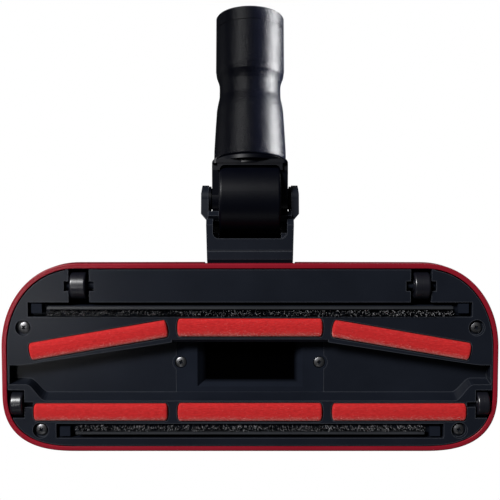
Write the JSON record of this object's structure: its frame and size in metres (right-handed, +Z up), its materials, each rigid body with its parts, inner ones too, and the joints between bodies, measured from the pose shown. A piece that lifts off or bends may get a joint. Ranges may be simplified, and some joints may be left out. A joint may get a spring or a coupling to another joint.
{
  "type": "vacuum cleaner floor head",
  "caption": "Low, wide suction floor head with lint pads, retractable bristle strips, rollers and a twice-hinged neck whose swivelling tube takes a wand",
  "frame": {"origin": "on the floor, under the middle of the whole object's box, with the neck in its lowest resting position", "axes": "+X across the head, to the right as seen from the front, +Y to the rear where the neck leaves, +Z up from the floor"},
  "size_m": [0.286, 0.2595, 0.0673],
  "materials": {
    "shell": "glossy crimson moulded shell",
    "body_plastic": "satin blue-black moulded plastic",
    "inner_plastic": "dark moulded plastic inside the head",
    "tube_plastic": "smooth near-black moulded plastic",
    "velour": "red velour lint strip",
    "steel": "zinc-plated steel",
    "bristle": "black nylon bristle",
    "wheel_rubber": "soft black wheel",
    "soft_rubber": "black grip rubber",
    "felt": "dark felt seal"
  },
  "bodies": {
    "head": {"top_shell": "shell", "sole_plate": "body_plastic", "inner_duct": "inner_plastic", "duct_cover": "inner_plastic", "neck_seals": "felt", "detent_spring": "steel", "corner_screws": "steel", "channel_screws": "steel", "duct_screws": "steel", "rear_pad_left": "velour", "rear_pad_centre": "velour", "rear_pad_right": "velour", "front_pad_left": "velour", "front_pad_centre": "velour", "front_pad_right": "velour", "rear_axles": "inner_plastic", "side_axles": "inner_plastic"},
    "brush": {"brush_frame": "inner_plastic", "rear_bristles": "bristle", "front_bristles": "bristle", "rear_wiper": "inner_plastic", "front_wiper": "inner_plastic"},
    "pedal": {"foot_pedal": "body_plastic", "pedal_grip": "soft_rubber", "lift_shaft": "steel"},
    "rear_wheel_l": {"rear_wheel_left": "wheel_rubber"},
    "rear_wheel_r": {"rear_wheel_right": "wheel_rubber"},
    "side_wheel_l": {"side_wheel_left": "wheel_rubber"},
    "side_wheel_r": {"side_wheel_right": "wheel_rubber"},
    "fork": {"fork_lower": "body_plastic", "fork_upper": "body_plastic", "fork_screws": "steel", "pivot_pins": "steel", "drum_seal": "felt"},
    "elbow": {"knuckle": "body_plastic", "joint_drum": "body_plastic", "swivel_collar": "tube_plastic", "swivel_ring": "steel"},
    "tube": {"connecting_tube": "tube_plastic", "swivel_seal": "felt", "socket_ring": "tube_plastic"}
  },
  "joints": [
    {"name": "pedal_rock", "type": "hinge", "parent": "head", "child": "pedal", "pos_m": [0, -0.08282, 0.028], "axis": [1, 0, 0], "range_deg": [0, 14]},
    {"name": "brush_lift", "type": "slide", "parent": "head", "child": "brush", "axis": [0, 0, 1], "range_m": [0, 0.004]},
    {"name": "neck_rock", "type": "hinge", "parent": "head", "child": "fork", "pos_m": [0, -0.04082, 0.0265], "axis": [1, 0, 0], "range_deg": [0, 16]},
    {"name": "elbow_tilt", "type": "hinge", "parent": "fork", "child": "elbow", "pos_m": [0, 0.01598, 0.024], "axis": [1, 0, 0], "range_deg": [0, 62]},
    {"name": "tube_swivel", "type": "hinge", "parent": "elbow", "child": "tube", "pos_m": [0, 0.01598, 0.024], "axis": [0, 0.9781, 0.2079], "continuous": true},
    {"name": "rear_wheel_l_roll", "type": "hinge", "parent": "head", "child": "rear_wheel_l", "pos_m": [-0.0986, -0.03382, 0.0078], "axis": [1, 0, 0], "continuous": true},
    {"name": "rear_wheel_r_roll", "type": "hinge", "parent": "head", "child": "rear_wheel_r", "pos_m": [0.0986, -0.03382, 0.0078], "axis": [1, 0, 0], "continuous": true},
    {"name": "side_wheel_l_roll", "type": "hinge", "parent": "head", "child": "side_wheel_l", "pos_m": [-0.1345, -0.10242, 0.0072], "axis": [1, 0, 0], "continuous": true},
    {"name": "side_wheel_r_roll", "type": "hinge", "parent": "head", "child": "side_wheel_r", "pos_m": [0.1345, -0.10242, 0.0072], "axis": [1, 0, 0], "continuous": true}
  ],
  "couplings": [
    {"joint": "brush_lift", "follows": "pedal_rock", "m_per_rad": 0.01637}
  ]
}
